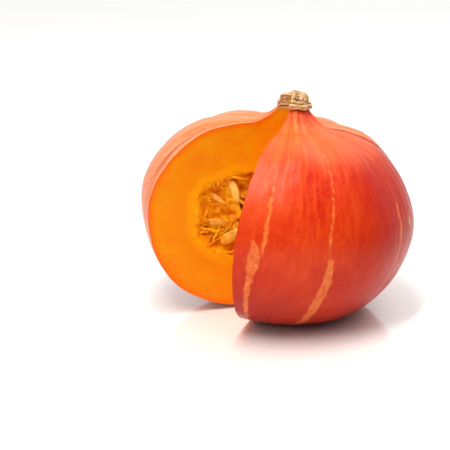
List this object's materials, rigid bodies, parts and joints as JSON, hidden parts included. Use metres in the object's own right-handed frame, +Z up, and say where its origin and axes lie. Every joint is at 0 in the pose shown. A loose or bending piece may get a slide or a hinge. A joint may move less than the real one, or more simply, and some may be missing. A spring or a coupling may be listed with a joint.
{
  "type": "hokkaido pumpkin",
  "caption": "Ripe orange-red hokkaido pumpkin at rest on a table with a wedge cut out, showing its thick orange flesh, stringy pulp and pale seeds.",
  "frame": {"origin": "centre of the resting flat at the blossom end, on the surface that the pumpkin stands on", "axes": "+Z up. The camera of the picture looks along +Y, with +X to its right. The stalk leans towards +X and the wedge is missing between -X and -Y."},
  "size_m": [0.1846, 0.1858, 0.1503],
  "materials": {
    "rind_and_flesh": "waxy satin rind over moist orange flesh",
    "stalk": "dry, rough cork",
    "stringy_pulp": "moist, stringy",
    "seed": "smooth, slightly moist hull"
  },
  "bodies": {
    "root": {"rind_and_flesh": "rind_and_flesh", "stalk": "stalk", "stringy_pulp": "stringy_pulp", "seed_01": "seed", "seed_02": "seed", "seed_03": "seed", "seed_04": "seed", "seed_05": "seed", "seed_06": "seed", "seed_07": "seed", "seed_08": "seed", "seed_09": "seed", "seed_10": "seed", "seed_11": "seed", "seed_12": "seed", "seed_13": "seed", "seed_14": "seed", "seed_15": "seed", "seed_16": "seed", "seed_17": "seed", "seed_18": "seed", "seed_19": "seed", "seed_20": "seed", "seed_21": "seed", "seed_22": "seed", "seed_23": "seed", "seed_24": "seed", "seed_25": "seed", "seed_26": "seed", "seed_27": "seed", "seed_28": "seed", "seed_29": "seed", "seed_30": "seed", "seed_31": "seed", "seed_32": "seed", "seed_33": "seed", "seed_34": "seed", "seed_35": "seed", "seed_36": "seed", "seed_37": "seed", "seed_38": "seed", "seed_39": "seed", "seed_40": "seed", "seed_41": "seed", "seed_42": "seed", "seed_43": "seed", "seed_44": "seed", "seed_45": "seed", "seed_46": "seed", "seed_47": "seed", "seed_48": "seed", "seed_49": "seed", "seed_50": "seed", "seed_51": "seed", "seed_52": "seed", "seed_53": "seed"}
  },
  "joints": []
}
